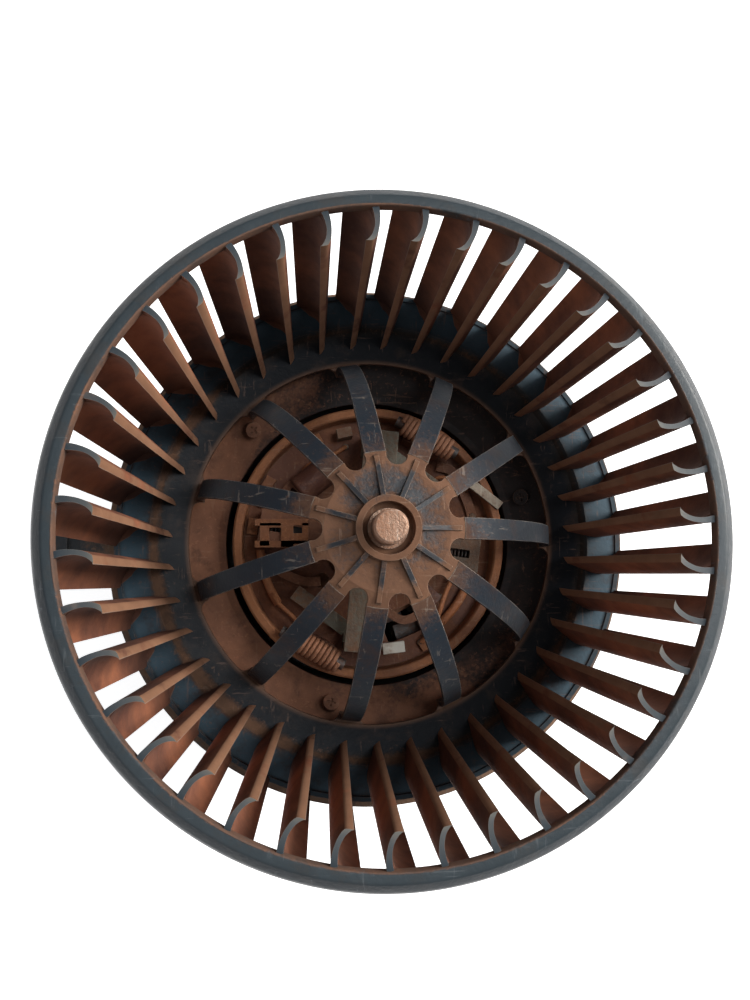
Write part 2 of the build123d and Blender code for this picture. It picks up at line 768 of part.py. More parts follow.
def carrier_screws():
    """Pan-head screws that hold the bowl to the ribs below it."""
    rise = FLANGE_TOP_Z - BOWL_LOW_Z - 0.4
    run = FLANGE_IN_R - BOWL_IN_R - 2.2
    radius = 50.0
    z = BOWL_LOW_Z + 0.4 + (radius - BOWL_IN_R - 2.2) * rise / run
    tilt = math.degrees(math.atan2(rise, run))
    head = disc(2.4, 0, 1.6)
    recess = block(2.6, 0.7, 1.0, 3.0) + block(0.7, 2.6, 1.0, 3.0)
    screw = Pos(radius, 0, z) * Rot(0, -tilt, 0) * Pos(0, 0, 0.12) * (head - recess)
    return joined([Rot(0, 0, angle) * screw for angle in (16.0, 136.0, 256.0)])


def nodes():
    """Every sub-part by its name."""
    second = Rot(0, 0, 180)
    aim = Rot(0, 0, BRUSH_AXIS)
    parts = {
        "wheel_rim": wheel_rim(),
        "wheel_blades": wheel_blades(),
        "wheel_base": wheel_base(),
        "wheel_spokes": wheel_spokes(),
        "wheel_hub": wheel_hub(),
        "hub_ribs": hub_ribs(),
        "hub_insert": hub_insert(),
        "hub_clip": hub_clip(),
        "motor_shaft": motor_shaft(),
        "armature_core": armature_core(),
        "winding_lower": armature_winding(14.8, CORE_Z0),
        "winding_upper": armature_winding(CORE_Z1, 49.8),
        "commutator_bars": commutator_bars(),
        "commutator_sleeve": commutator_sleeve(),
        "thrust_washer_lower": thrust_washer(13.6),
        "thrust_washer_upper": thrust_washer(COMM_Z1 + 0.8),
        "motor_can": motor_can(),
        "magnet_a": magnet(),
        "magnet_b": second * magnet(),
        "magnet_spring_a": magnet_spring(0),
        "magnet_spring_b": magnet_spring(180),
        "bearing_lower": bearing(POCKET_Z + 1.6, 13.2),
        "bearing_upper": bearing(66.9, 74.4),
        "retainer_lower": lower_retainer(),
        "retainer_upper": upper_retainer(),
        "brush_plate": brush_plate(),
        "bearing_bridge": bearing_bridge(),
        "brush_holder_a": aim * brush_holder(),
        "brush_holder_b": second * aim * brush_holder(),
        "brush_a": aim * brush(),
        "brush_b": second * aim * brush(),
        "brush_spring_a": aim * brush_spring(),
        "brush_spring_b": second * aim * brush_spring(),
        "choke_core_a": choke_place(CHOKE_AXIS) * choke_core(),
        "choke_core_b": choke_place(CHOKE_AXIS + 180) * choke_core(),
        "choke_winding_a": choke_place(CHOKE_AXIS) * choke_winding(),
        "choke_winding_b": choke_place(CHOKE_AXIS + 180) * choke_winding(),
        "choke_cradle_a": at(CHOKE_AT_R, CHOKE_AXIS) * choke_cradle(),
        "choke_cradle_b": at(CHOKE_AT_R, CHOKE_AXIS + 180) * choke_cradle(),
        "bus_strip_a": at(25.6, CHOKE_AXIS - 7.0) * bus_strip(),
        "bus_strip_b": at(25.6, CHOKE_AXIS + 173.0) * bus_strip(),
        "lead_a": lead_arc(33.4, -50.0, -24.0, PLATE_Z + 2.2, 1.3),
        "lead_b": lead_arc(33.4, 184.0, 214.0, PLATE_Z + 2.2, 1.3),
        "supply_strip": supply_strip(),
        "capacitor": capacitor(),
        "thermal_link": thermal_link(),
        "lead_clip": lead_clip(),
        "spacer_block": spacer_block(),
        "motor_ring": motor_ring(),
        "ring_snaps": ring_snaps(),
        "dampers": joined(around(damper(), 3, 100.0)),
        "carrier_floor": carrier_floor(),
        "carrier_cup": carrier_cup(),
        "carrier_bowl": carrier_bowl(),
        "carrier_flange": carrier_flange(),
        "carrier_lug": carrier_lug(),
        "carrier_ribs": carrier_ribs(),
        "connector_shell": connector_shell(),
        "connector_pins": connector_pins(),
        "carrier_screws": carrier_screws(),
    }
    return parts


os.makedirs("parts", exist_ok=True)
for name, shape in nodes().items():
    export_step(shape, f"parts/{name}.step")
    print(name, len(shape.solids()), "solid(s)")
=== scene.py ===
# %% [markdown]
# # A car heater blower, seen from its air intake
# The mechanical model is loaded as a fixed frame of small separate parts. This lesson gives them their looks: the
# moulded wheel with its many cupped blades, the open-brush motor behind it, and the dusty black carrier. The frame
# says where each part goes. Outlines are written in millimetres, as on a drawing, and scaled to metres.

import math

import bmesh
import bpy
import numpy as np
from mathutils import Matrix, Vector


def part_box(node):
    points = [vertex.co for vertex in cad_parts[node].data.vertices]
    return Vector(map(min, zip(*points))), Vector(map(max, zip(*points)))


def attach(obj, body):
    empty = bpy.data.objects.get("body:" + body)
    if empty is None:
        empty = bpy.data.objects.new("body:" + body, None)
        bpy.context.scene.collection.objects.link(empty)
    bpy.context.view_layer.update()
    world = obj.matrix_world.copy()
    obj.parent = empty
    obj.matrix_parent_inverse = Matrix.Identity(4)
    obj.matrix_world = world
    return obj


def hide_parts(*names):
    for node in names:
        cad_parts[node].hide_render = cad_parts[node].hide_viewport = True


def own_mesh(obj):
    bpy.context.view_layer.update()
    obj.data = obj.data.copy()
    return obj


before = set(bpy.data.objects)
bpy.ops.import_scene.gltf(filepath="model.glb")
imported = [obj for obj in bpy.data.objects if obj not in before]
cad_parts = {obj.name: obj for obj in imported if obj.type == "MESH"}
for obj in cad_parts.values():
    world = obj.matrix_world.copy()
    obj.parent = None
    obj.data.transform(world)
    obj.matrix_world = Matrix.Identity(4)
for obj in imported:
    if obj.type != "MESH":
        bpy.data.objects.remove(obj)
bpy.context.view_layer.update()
MM = 0.001

# %% [markdown]
# ## Camera
# The blower was looked at with an ordinary wide lens from about 15 cm in front of the rim, a little to one side of
# its axis. So near, the perspective is strong: the far end of the wheel looks much smaller than the rim, and it is
# what lets the eye see both walls of the blades. The camera is built from its place and the point it is aimed at.

# %% Camera
RIM_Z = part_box("wheel_rim")[1].z
EYE = Vector((-0.0183, -0.0127, RIM_Z + 0.1514))
AIM = Vector((-0.0067, 0.0033, RIM_Z))
LENS_MM, FILM_MM = 26.0, 36.0
SHIFT = (0.0105, 0.0071)


def make_camera():
    """A camera at EYE that looks at AIM, with its upper edge towards +Y."""
    data = bpy.data.cameras.new("camera")
    data.lens = LENS_MM
    data.sensor_width = FILM_MM
    data.shift_x, data.shift_y = SHIFT
    data.clip_start = 0.005
    data.clip_end = 20.0
    back = (EYE - AIM).normalized()
    up = back.cross(Vector((1, 0, 0))).normalized()
    right = up.cross(back)
    turn = Matrix((right, up, back)).transposed()
    camera = bpy.data.objects.new("camera", data)
    camera.matrix_world = Matrix.Translation(EYE) @ turn.to_4x4()
    bpy.context.scene.collection.objects.link(camera)
    bpy.context.scene.camera = camera


make_camera()
print("camera", round((EYE - AIM).length / MM), "mm from the rim")

# %% [markdown]
# ## Light
# Soft light from large panels, strongest from the right, keeps the shaded side of each blade readable.


# %% Light
LIT_POINT = Vector((0, 0, 0.09))
SKY_TINT = (0.95, 0.97, 1.0, 1)
SKY_STRENGTH = 0.22


def panel(name, place, size, power, tint=(1.0, 1.0, 1.0)):
    """A square area light that faces the object."""
    data = bpy.data.lights.new(name, "AREA")
    data.shape = "SQUARE"
    data.size = size
    data.energy = power
    data.color = tint
    lamp = bpy.data.objects.new(name, data)
    lamp.location = place
    lamp.rotation_euler = (LIT_POINT - lamp.location).to_track_quat("-Z", "Y").to_euler()
    bpy.context.scene.collection.objects.link(lamp)


panel("side_panel", (0.90, 0.30, 0.62), 0.5, 18.0, (1.0, 0.96, 0.91))
panel("upper_panel", (0.40, 0.14, 1.12), 0.4, 5.0, (0.93, 0.97, 1.0))
panel("fill_panel", (-0.6, -0.7, 0.9), 0.8, 2.0, (0.9, 0.95, 1.0))

world = bpy.data.worlds.new("world")
world.use_nodes = True
world.node_tree.nodes["Background"].inputs["Color"].default_value = SKY_TINT
world.node_tree.nodes["Background"].inputs["Strength"].default_value = SKY_STRENGTH
bpy.context.scene.world = world
bpy.context.scene.view_settings.view_transform = "Standard"

# %% [markdown]
# ## Finishes
# On the real blower every surface is a moulded or plated base with years of fine rust-brown dust on it. The dust is
# thick near the hub and on the blade walls, and is rubbed off on the rim and on the spokes. So one recipe serves for
# nearly all parts: a mottled base colour, a dust colour, and a mask between them. The mask is noise, shifted by how
# far the spot is from the axis. A Bevel node compares the rounded normal with the true one, which finds the edges,
# and there the finish is worn paler. All patterns read object coordinates, so they keep their scale on every part.


# %% Node helpers
class Recipe:
    """A material under construction, with short ways to add and link nodes."""

    def __init__(self, name):
        self.material = bpy.data.materials.new(name)
        self.material.use_nodes = True
        self.tree = self.material.node_tree
        self.shader = self.tree.nodes["Principled BSDF"]
        self.place = self.node("ShaderNodeTexCoord").outputs["Object"]
        self.facing = self.tree.nodes["Texture Coordinate"].outputs["Normal"]

    def node(self, kind, inputs=(), **settings):
        made = self.tree.nodes.new(kind)
        for key, value in settings.items():
            setattr(made, key, value)
        for key, value in dict(inputs).items():
            self.put(made.inputs[key], value)
        return made

    def put(self, socket, value):
        """Links an output, or sets a plain value."""
        if isinstance(value, bpy.types.NodeSocket):
            self.tree.links.new(value, socket)
        else:
            socket.default_value = value

    def noise(self, scale, detail=4.0, rough=0.55, stretch=None, seed=0.0):
        """Noise from 0 to 1. The scale is in features per metre; stretch squeezes it along x, y and z."""
        where = self.place
        if stretch or seed:
            where = self.node(
                "ShaderNodeMapping", {0: where, 1: (seed, seed * 0.7, -seed), 3: stretch or (1, 1, 1)}
            ).outputs[0]
        made = self.node("ShaderNodeTexNoise", {"Vector": where, "Scale": scale, "Detail": detail})
        made.inputs["Roughness"].default_value = rough
        return made.outputs[0]

    def math(self, how, a, b=0.0, c=0.0, clamp=False):
        made = self.node("ShaderNodeMath", {0: a, 1: b, 2: c}, operation=how)
        made.use_clamp = clamp
        return made.outputs[0]

    def ramp(self, value, low, high, out_low=0.0, out_high=1.0):
        """A smooth step of a value between two limits."""
        made = self.node("ShaderNodeMapRange", {0: value, 1: low, 2: high, 3: out_low, 4: out_high})
        made.interpolation_type = "SMOOTHSTEP"
        return made.outputs[0]

    def mix(self, share, a, b, blend="MIX"):
        made = self.node("ShaderNodeMix", data_type="RGBA", blend_type=blend)
        self.put(made.inputs[0], share)
        self.put(made.inputs[6], a if isinstance(a, bpy.types.NodeSocket) else (*a, 1.0))
        self.put(made.inputs[7], b if isinstance(b, bpy.types.NodeSocket) else (*b, 1.0))
        return made.outputs[2]

    def radius(self):
        """Distance from the motor axis, in millimetres."""
        flat = self.node("ShaderNodeVectorMath", {0: self.place, 1: (1000, 1000, 0)}, operation="MULTIPLY")
        return self.node("ShaderNodeVectorMath", {0: flat.outputs[0]}, operation="LENGTH").outputs[1]

    def split(self, vector):
        return self.node("ShaderNodeSeparateXYZ", {0: vector}).outputs

    def stops(self, value, span, points):
        """A curve through (value, grey or colour) stops, as a colour ramp over 0 to span."""
        made = self.node("ShaderNodeValToRGB", {0: self.math("DIVIDE", value, span)})
        band = made.color_ramp
        while len(band.elements) < len(points):
            band.elements.new(0.5)
        for element, (at, tone) in zip(band.elements, points):
            element.position = at / span
            element.color = (*tone, 1.0) if isinstance(tone, tuple) else (tone, tone, tone, 1.0)
        return made.outputs[0]

    def edges(self, width):
        """1 on edges narrower than a width in millimetres, 0 on flat areas."""
        soft = self.node("ShaderNodeBevel", {"Radius": width * MM}, samples=4).outputs[0]
        true = self.node("ShaderNodeNewGeometry").outputs["Normal"]
        same = self.node("ShaderNodeVectorMath", {0: soft, 1: true}, operation="DOT_PRODUCT").outputs[1]
        return self.ramp(self.math("SUBTRACT", 1.0, same), 0.02, 0.22)

    def relief(self, height, depth, strength=0.5, soft_edge=0.0):
        """Bump from a height pattern, with a depth in millimetres."""
        bump = self.node("ShaderNodeBump", {"Height": height, "Distance": depth * MM, "Strength": strength})
        if soft_edge:
            soft = self.node("ShaderNodeBevel", {"Radius": soft_edge * MM}, samples=4)
            self.put(bump.inputs["Normal"], soft.outputs[0])
        self.put(self.shader.inputs["Normal"], bump.outputs[0])


RADIUS_SPAN = 100.0      # mm, the span of all curves over the distance from the axis
# Painted light: the dust mask leans towards this side, -X and -Y. On the bowl this makes the wall that faces the lamps
# lighter and the far side darker; the base plate takes a smaller lean.
SIDE_DUST_AND_LIGHT_WAY = (-16.0, -9.0, 0.0)      # per metre, towards the side where dust collects


def dusty(name, base, second, dust, dust_low, amount, wear=(0.30, 0.32, 0.33), wear_share=0.5,
          rough=0.42, metal=0.0, reach=None, base_by_radius=None, grain=900.0, specular=0.3, scratch=0.35,
          side_dust_and_light=0.0):
    """The house recipe: a mottled base, dust by noise and by radius, worn edges, scratches and fine grain.

    amount moves the dust mask, -1 for none and +1 for all over. reach and base_by_radius hold (radius in mm,
    amount) and (radius in mm, colour) stops. The last argument leans the dust to one side as painted light."""
    r = Recipe(name)
    blotch = r.noise(45.0, 7.0, 0.62)
    mottle = r.noise(170.0, 6.0, 0.6, seed=3.1)
    fine = r.noise(grain, 3.0, 0.6)
    tone = r.mix(mottle, base, second)
    if base_by_radius:
        tone = r.stops(r.radius(), RADIUS_SPAN, base_by_radius)
        tone = r.mix(0.7, tone, r.mix(mottle, (0.45, 0.45, 0.45), (1.0, 1.0, 1.0)), "MULTIPLY")
    shift = r.stops(r.radius(), RADIUS_SPAN, reach) if reach else 0.5
    lean = r.math("ADD", blotch, r.math("MULTIPLY", r.math("SUBTRACT", shift, 0.5), 1.4))
    lean = r.math("ADD", lean, amount * 0.5)
    # Painted light: more of the paler dust towards one side, less on the other.
    if side_dust_and_light:
        across = r.node("ShaderNodeVectorMath", {0: r.place, 1: SIDE_DUST_AND_LIGHT_WAY}, operation="DOT_PRODUCT")
        lean = r.math("ADD", lean, r.math("MULTIPLY", across.outputs[1], side_dust_and_light))
    lean = r.math("ADD", lean, r.math("MULTIPLY", r.math("SUBTRACT", fine, 0.5), 0.35))
    mask = r.ramp(lean, 0.36, 0.64)
    powder = r.mix(r.noise(110.0, 6.0, 0.65, seed=7.7), dust_low, dust)
    tone = r.mix(mask, tone, powder)
    dots = r.noise(620.0, 5.0, 0.75, seed=11.0)
    specks = r.math("MULTIPLY", r.ramp(dots, 0.56, 0.66), r.ramp(lean, 0.1, 0.45))
    tone = r.mix(r.math("MULTIPLY", specks, 0.55), tone, dust)
    grime = r.math("MULTIPLY", r.ramp(r.noise(130.0, 6.0, 0.7, seed=13.0), 0.5, 0.68), 0.55)
    tone = r.mix(grime, tone, dust_low)
    worn = r.math("MULTIPLY", r.edges(0.45), r.ramp(r.noise(260.0, 4.0, 0.6, seed=1.3), 0.3, 0.6), clamp=True)
    tone = r.mix(r.math("MULTIPLY", worn, wear_share), tone, wear)
    for turn, seed in (((1.0, 16.0, 5.0), 5.0), ((13.0, 1.0, 5.0), 8.0)):
        lines = r.noise(55.0, 4.0, 0.7, stretch=turn, seed=seed)
        marks = r.math("MULTIPLY", r.ramp(lines, 0.60, 0.66), r.ramp(mottle, 0.46, 0.58))
        tone = r.mix(r.math("MULTIPLY", marks, scratch), tone, wear)
    r.put(r.shader.inputs["Base Color"], tone)
    gloss = r.ramp(mask, 0.0, 1.0, rough, 0.9)
    gloss = r.math("ADD", gloss, r.math("MULTIPLY", r.math("SUBTRACT", mottle, 0.5), 0.25), clamp=True)
    r.put(r.shader.inputs["Roughness"], gloss)
    r.shader.inputs["Specular IOR Level"].default_value = specular
    if metal:
        r.put(r.shader.inputs["Metallic"], r.ramp(mask, 0.0, 0.7, metal, 0.0))
    height = r.math("ADD", r.math("MULTIPLY", fine, 0.5), r.math("MULTIPLY", mask, 0.6))
    r.relief(height, 0.3, 0.6, soft_edge=0.3)
    return r.material


# %% [markdown]
# ### The colours
# Slate for the bare moulding, rust for the dust. The inner ring of the base plate is painted almost black, as painted
# shade in that hollow, and the ring near its edge is painted pale blue-grey, as a painted reflection of the lamps.

# %% Finishes of the wheel
RUST = (0.25, 0.095, 0.042)
RUST_DARK = (0.085, 0.036, 0.022)
SLATE = (0.016, 0.022, 0.030)
SLATE_DARK = (0.010, 0.013, 0.018)
SLATE_PALE = (0.13, 0.145, 0.155)

finish = {}
# Painted shade in the rim's colour by radius: from 73.8 mm outwards the flared lip is darker, as it faces down, away
# from the lamps.
finish["rim"] = dusty(
    "rim_slate", (0.030, 0.041, 0.049), (0.050, 0.064, 0.073), (0.20, 0.095, 0.055), (0.045, 0.042, 0.040), -0.95,
    reach=[(0, 0.5), (70.95, 1.0), (71.5, 0.45), (74, 0.38), (78, 0.40)], wear=SLATE_PALE, wear_share=0.4,
    base_by_radius=[(70, (0.036, 0.047, 0.055)), (72.9, (0.044, 0.057, 0.066)), (73.8, (0.020, 0.027, 0.034)),
                    (77, (0.016, 0.022, 0.029))],
)
finish["spokes"] = dusty(
    "spoke_slate", SLATE, (0.015, 0.021, 0.030), (0.12, 0.060, 0.036), (0.045, 0.024, 0.018), -0.3,
    reach=[(0, 0.8), (16, 0.74), (20, 0.62), (26, 0.46), (36, 0.32), (47, 0.44), (54, 0.66)],
    wear=(0.30, 0.245, 0.20), wear_share=0.9, specular=0.25, rough=0.5,
)
finish["web"] = dusty(
    "web_dust", (0.050, 0.046, 0.045), SLATE, (0.19, 0.092, 0.050), (0.085, 0.042, 0.026), 0.05,
    reach=[(0, 0.7), (7.5, 0.64), (9, 0.50), (13, 0.54), (17, 0.64), (30, 0.5)],
    wear=(0.34, 0.22, 0.15), wear_share=0.7,
)
finish["ribs"] = dusty(
    "rib_slate", (0.030, 0.032, 0.036), SLATE_DARK, (0.20, 0.10, 0.055), (0.07, 0.035, 0.022), -0.25,
    reach=[(0, 0.7), (9, 0.55), (12, 0.38), (15, 0.6), (18, 0.85)], wear=(0.26, 0.18, 0.13), wear_share=0.8,
)
# Painted light in the base plate's colour by radius: near black from 54.4 to 60 mm is painted shade, and the pale blue
# from 64.5 to 70.5 mm is a painted reflection.
finish["base"] = dusty(
    "base_plate", SLATE, SLATE_DARK, (0.15, 0.078, 0.046), (0.035, 0.022, 0.017), -0.35,
    base_by_radius=[(50, (0.11, 0.060, 0.038)), (53.3, (0.12, 0.064, 0.040)), (54.4, (0.004, 0.005, 0.008)),
                    (60, (0.005, 0.007, 0.011)), (62.5, (0.030, 0.024, 0.020)),
                    (64.5, (0.040, 0.062, 0.080)), (70.5, (0.055, 0.092, 0.120)), (72, (0.030, 0.048, 0.062)),
                    (75, (0.022, 0.032, 0.042))],
    reach=[(50, 0.42), (54, 0.30), (59, 0.32), (62.3, 0.66), (65, 0.40), (70, 0.32), (74, 0.38)],
    wear=(0.16, 0.10, 0.075), wear_share=0.85, rough=0.5, specular=0.16, side_dust_and_light=0.15,
)
print(len(finish), "finishes for the wheel so far")


# %% [markdown]
# ### The blades' finish
# Three zones on each blade: the flat front face is bare slate, paler towards the tip, where it was rubbed. The rounded
# inner edge, which meets the air first, carries a thick tan crust. The walls are matt rust-brown, with painted shade
# darkening them near the base plate and on the sides facing away from the axis. A painted attribute on the mesh marks
# the inner edge, and the surface's own direction marks the front face.


# %% Blade finish
def blade_finish():
    r = Recipe("blade_dust")
    blotch = r.noise(38.0, 7.0, 0.62)
    mottle = r.noise(150.0, 6.0, 0.62, seed=2.0)
    fine = r.noise(1100.0, 3.0, 0.6)
    nose = r.node("ShaderNodeAttribute", attribute_name="nose").outputs["Fac"]
    up = r.split(r.facing)[2]
    height = r.math("MULTIPLY", r.split(r.place)[2], 1000.0)
    wall = r.mix(r.ramp(blotch, 0.32, 0.66), (0.085, 0.032, 0.021), (0.30, 0.108, 0.052))
    wall = r.mix(r.ramp(mottle, 0.42, 0.68, 0.0, 0.55), wall, (0.165, 0.066, 0.038))
    # Painted shade: the walls darken towards the base plate, deep inside the wheel.
    depth = r.ramp(height, 72.0, 100.0, 0.55, 0.0)
    wall = r.mix(depth, wall, (0.045, 0.022, 0.016))
    near_rim = r.math("MULTIPLY", r.ramp(height, 118.0, 128.0), r.ramp(mottle, 0.35, 0.6), clamp=True)
    wall = r.mix(r.math("MULTIPLY", near_rim, 0.35), wall, (0.06, 0.028, 0.02))
    # Painted shade: walls that face away from the axis are mixed towards a darker colour.
    flat_place = r.node("ShaderNodeVectorMath", {0: r.place, 1: (1, 1, 0)}, operation="MULTIPLY").outputs[0]
    away = r.node("ShaderNodeVectorMath", {0: flat_place}, operation="NORMALIZE").outputs[0]
    outside = r.node("ShaderNodeVectorMath", {0: away, 1: r.facing}, operation="DOT_PRODUCT").outputs[1]
    shade = r.mix(mottle, (0.035, 0.030, 0.030), (0.11, 0.058, 0.040))
    wall = r.mix(r.ramp(outside, 0.15, 0.75, 0.0, 0.7), wall, shade)
    crust = r.mix(mottle, (0.15, 0.072, 0.041), (0.29, 0.145, 0.080))
    patches = r.ramp(r.noise(90.0, 5.0, 0.6, seed=9.0), 0.30, 0.48)
    shown = r.math("MULTIPLY", r.ramp(nose, 0.25, 0.8), patches, clamp=True)
    tone = r.mix(shown, wall, crust)
    slate = r.stops(r.radius(), RADIUS_SPAN,
                    [(62, (0.16, 0.145, 0.12)), (64.5, (0.075, 0.080, 0.082)), (70.5, (0.026, 0.036, 0.045))])
    slate = r.mix(r.ramp(mottle, 0.55, 0.75, 0.0, 0.4), slate, (0.20, 0.15, 0.12))
    front = r.math("MULTIPLY", r.ramp(up, 0.72, 0.92), r.ramp(height, 127.5, 128.6), clamp=True)
    tone = r.mix(front, tone, slate)
    worn = r.math("MULTIPLY", r.edges(0.16), r.ramp(height, 118.0, 129.0, 0.15, 0.55))
    tone = r.mix(worn, tone, (0.26, 0.225, 0.19))
    r.put(r.shader.inputs["Base Color"], tone)
    r.put(r.shader.inputs["Roughness"], r.ramp(front, 0.0, 1.0, 0.86, 0.48))
    r.shader.inputs["Specular IOR Level"].default_value = 0.35
    r.relief(r.math("ADD", r.math("MULTIPLY", fine, 0.5), mottle), 0.20, 0.5)
    return r.material


finish["blade"] = blade_finish()

# %% [markdown]
# ### Finishes behind the wheel
# The same recipe with other values makes the parts of the motor. They all share the rust-brown dust, which is why the
# olive plates, the brown insulation and the black cup look so alike on the real thing.

# %% Finishes of the motor and the carrier
DULL = {"wear": (0.36, 0.22, 0.14), "wear_share": 0.5, "rough": 0.6}
finish["collar"] = dusty("collar_dust", (0.30, 0.120, 0.055), (0.16, 0.066, 0.035), (0.46, 0.195, 0.088),
                         (0.20, 0.082, 0.042), 0.05, **DULL)
finish["insulation"] = dusty("insulation_dust", (0.17, 0.065, 0.036), (0.11, 0.045, 0.028), (0.27, 0.115, 0.06),
                             (0.13, 0.052, 0.03), 0.0, **DULL)
finish["plate_metal"] = dusty("plate_metal", (0.17, 0.155, 0.115), (0.11, 0.10, 0.08), (0.24, 0.115, 0.062),
                              (0.12, 0.058, 0.036), -0.1, rough=0.5, metal=0.35, wear=(0.40, 0.36, 0.28))
finish["copper"] = dusty("choke_wire", (0.46, 0.21, 0.115), (0.28, 0.125, 0.070), (0.55, 0.28, 0.17),
                         (0.24, 0.105, 0.06), 0.05, rough=0.55, metal=0.15, wear=(0.6, 0.38, 0.25))
finish["brass"] = dusty("holder_brass", (0.22, 0.15, 0.085), (0.16, 0.10, 0.06), (0.25, 0.12, 0.065),
                        (0.12, 0.055, 0.035), 0.0, rough=0.5, metal=0.4, wear=(0.42, 0.33, 0.22))
finish["phenolic"] = dusty("phenolic_dust", (0.24, 0.105, 0.058), (0.15, 0.065, 0.040), (0.34, 0.16, 0.088),
                           (0.16, 0.068, 0.040), 0.0, **DULL)
finish["holder"] = dusty("holder_metal", (0.12, 0.095, 0.070), (0.075, 0.058, 0.046), (0.20, 0.105, 0.062),
                         (0.09, 0.048, 0.032), -0.05, rough=0.55, metal=0.2, wear=(0.30, 0.22, 0.15))
finish["steel"] = dusty("shaft_steel", (0.40, 0.27, 0.20), (0.30, 0.18, 0.12), (0.36, 0.175, 0.095),
                        (0.20, 0.085, 0.045), -0.05, rough=0.38, metal=0.75, wear=(0.7, 0.6, 0.52), grain=1500.0)
finish["spring_steel"] = dusty("spring_steel", (0.20, 0.19, 0.18), (0.13, 0.12, 0.115), RUST, RUST_DARK, -0.2,
                               rough=0.4, metal=0.8, wear=(0.45, 0.43, 0.41))
finish["iron"] = dusty("stacked_iron", (0.13, 0.12, 0.115), (0.08, 0.072, 0.068), RUST, RUST_DARK, -0.1,
                       rough=0.5, metal=0.6, wear=(0.35, 0.33, 0.31))
finish["can"] = dusty("can_steel", (0.24, 0.235, 0.20), (0.17, 0.165, 0.14), (0.22, 0.11, 0.06), RUST_DARK, -0.25,
                      rough=0.45, metal=0.5, wear=(0.45, 0.44, 0.38))
finish["drum"] = dusty("drum_lacquer", (0.115, 0.045, 0.03), (0.075, 0.03, 0.022), (0.19, 0.08, 0.045),
                       (0.10, 0.042, 0.026), -0.15, rough=0.42, wear=(0.26, 0.15, 0.1))
finish["pale"] = dusty("pale_nylon", (0.66, 0.62, 0.54), (0.54, 0.49, 0.41), (0.42, 0.27, 0.17), (0.30, 0.18, 0.11),
                       -0.5, rough=0.5, wear=(0.75, 0.72, 0.66))
finish["tin"] = dusty("tinned_strip", (0.30, 0.25, 0.19), (0.20, 0.16, 0.12), (0.28, 0.15, 0.09), (0.13, 0.065, 0.042),
                      -0.1, rough=0.45, metal=0.3, wear=(0.7, 0.62, 0.5))
finish["block"] = dusty("aged_block", (0.30, 0.235, 0.165), (0.20, 0.145, 0.10), (0.26, 0.14, 0.085),
                        (0.13, 0.065, 0.042), -0.1, rough=0.6, wear=(0.42, 0.34, 0.26))
finish["sleeve"] = dusty("lead_sleeve", (0.42, 0.15, 0.055), (0.30, 0.105, 0.045), (0.40, 0.17, 0.08),
                         (0.22, 0.09, 0.045), -0.05, rough=0.6, wear=(0.5, 0.3, 0.18))
# The bowl's dust leans strongly to one side: painted light on the wall facing the lamps, painted shade opposite.
finish["bowl"] = dusty("bowl_dust", (0.022, 0.016, 0.015), (0.013, 0.010, 0.010), (0.29, 0.126, 0.070),
                       (0.050, 0.026, 0.019), -0.12, rough=0.7, wear=(0.24, 0.13, 0.08), wear_share=0.6, side_dust_and_light=0.42,
                       reach=[(40, 0.42), (46, 0.50), (53, 0.60), (60, 0.55), (80, 0.5)])
finish["carrier"] = dusty("carrier_black", (0.032, 0.031, 0.031), (0.048, 0.046, 0.044), (0.15, 0.085, 0.055),
                          (0.07, 0.042, 0.03), -0.55, rough=0.5, wear=(0.16, 0.15, 0.14), wear_share=0.4)
finish["flange"] = dusty("flange_black", (0.045, 0.048, 0.052), (0.03, 0.033, 0.037), (0.24, 0.14, 0.09),
                         (0.11, 0.065, 0.042), -0.15, rough=0.5, wear=(0.20, 0.18, 0.16), wear_share=0.5,
                         reach=[(60, 0.5), (72, 0.5), (75, 0.62), (78, 0.5), (95, 0.2)])
finish["rubber"] = dusty("soft_rubber", (0.018, 0.017, 0.017), (0.028, 0.027, 0.026), (0.12, 0.062, 0.04),
                         (0.05, 0.03, 0.022), -0.4, rough=0.8, specular=0.2)
finish["carbon"] = dusty("pressed_carbon", (0.028, 0.027, 0.027), (0.05, 0.048, 0.047), RUST_DARK, RUST_DARK, -0.5,
                         rough=0.6)
print(len(finish), "finishes in all")

# %% [markdown]
# ## Meshes by rule
# Small helpers make a piece from points and faces, clean it, and turn an outline with rounded corners about the axis.


# %% Mesh helpers
def new_piece(name, points, faces, material, smooth=True):
    mesh = bpy.data.meshes.new(name)
    mesh.from_pydata([tuple(p) for p in points], [], faces)
    mesh.materials.append(material)
    mesh.polygons.foreach_set("use_smooth", [smooth] * len(mesh.polygons))
    mesh.update()
    piece = bpy.data.objects.new(name, mesh)
    bpy.context.scene.collection.objects.link(piece)
    return piece


def tidy_mesh(piece, crease_deg=35.0):
    """Merges doubles, turns all faces outwards and marks the sharp edges."""
    bm = bmesh.new()
    bm.from_mesh(piece.data)
    bmesh.ops.remove_doubles(bm, verts=bm.verts, dist=1e-7)
    bmesh.ops.recalc_face_normals(bm, faces=bm.faces)
    for edge in bm.edges:
        if len(edge.link_faces) == 2:
            edge.smooth = edge.calc_face_angle(0) < math.radians(crease_deg)
    bm.to_mesh(piece.data)
    bm.free()
    return piece


def rounded_outline(points, radius, steps=3):
    """A closed outline with each corner replaced by a short curve."""
    out = []
    count = len(points)
    for index, corner in enumerate(points):
        corner = Vector(corner)
        before = Vector(points[index - 1]) - corner
        after = Vector(points[(index + 1) % count]) - corner
        reach = min(radius, before.length * 0.45, after.length * 0.45)
        start = corner + before.normalized() * reach
        end = corner + after.normalized() * reach
        for step in range(steps + 1):
            share = step / steps
            out.append((1 - share) ** 2 * start + 2 * share * (1 - share) * corner + share ** 2 * end)
    return out


